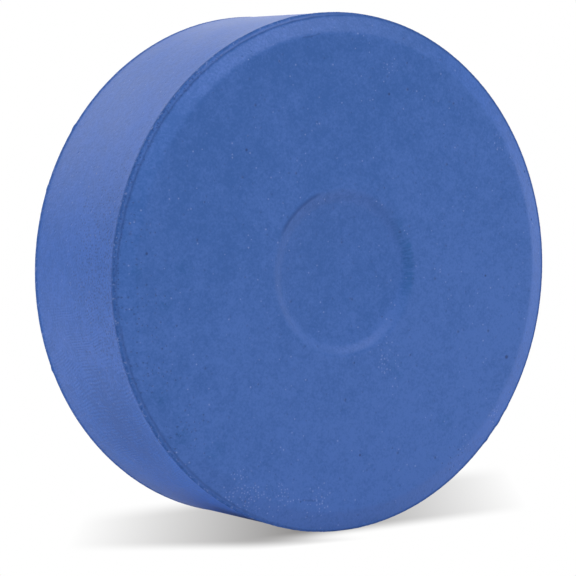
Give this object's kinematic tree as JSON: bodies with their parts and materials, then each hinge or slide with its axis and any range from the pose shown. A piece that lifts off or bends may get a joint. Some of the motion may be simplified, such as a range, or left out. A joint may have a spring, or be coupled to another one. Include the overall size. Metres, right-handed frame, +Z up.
{
  "type": "hockey puck",
  "caption": "Solid rubber hockey puck with bevelled rims and a shallow round recess in each face, standing on its edge.",
  "frame": {"origin": "on the ground under the middle of the puck, which stands on its edge", "axes": "+Y along the puck's round axis, +Z up, the bare front face towards -Y"},
  "size_m": [0.0762, 0.0254, 0.0762],
  "materials": {
    "blue_rubber": "matte moulded, slightly dusty"
  },
  "bodies": {
    "root": {"puck_body": "blue_rubber"}
  },
  "joints": []
}
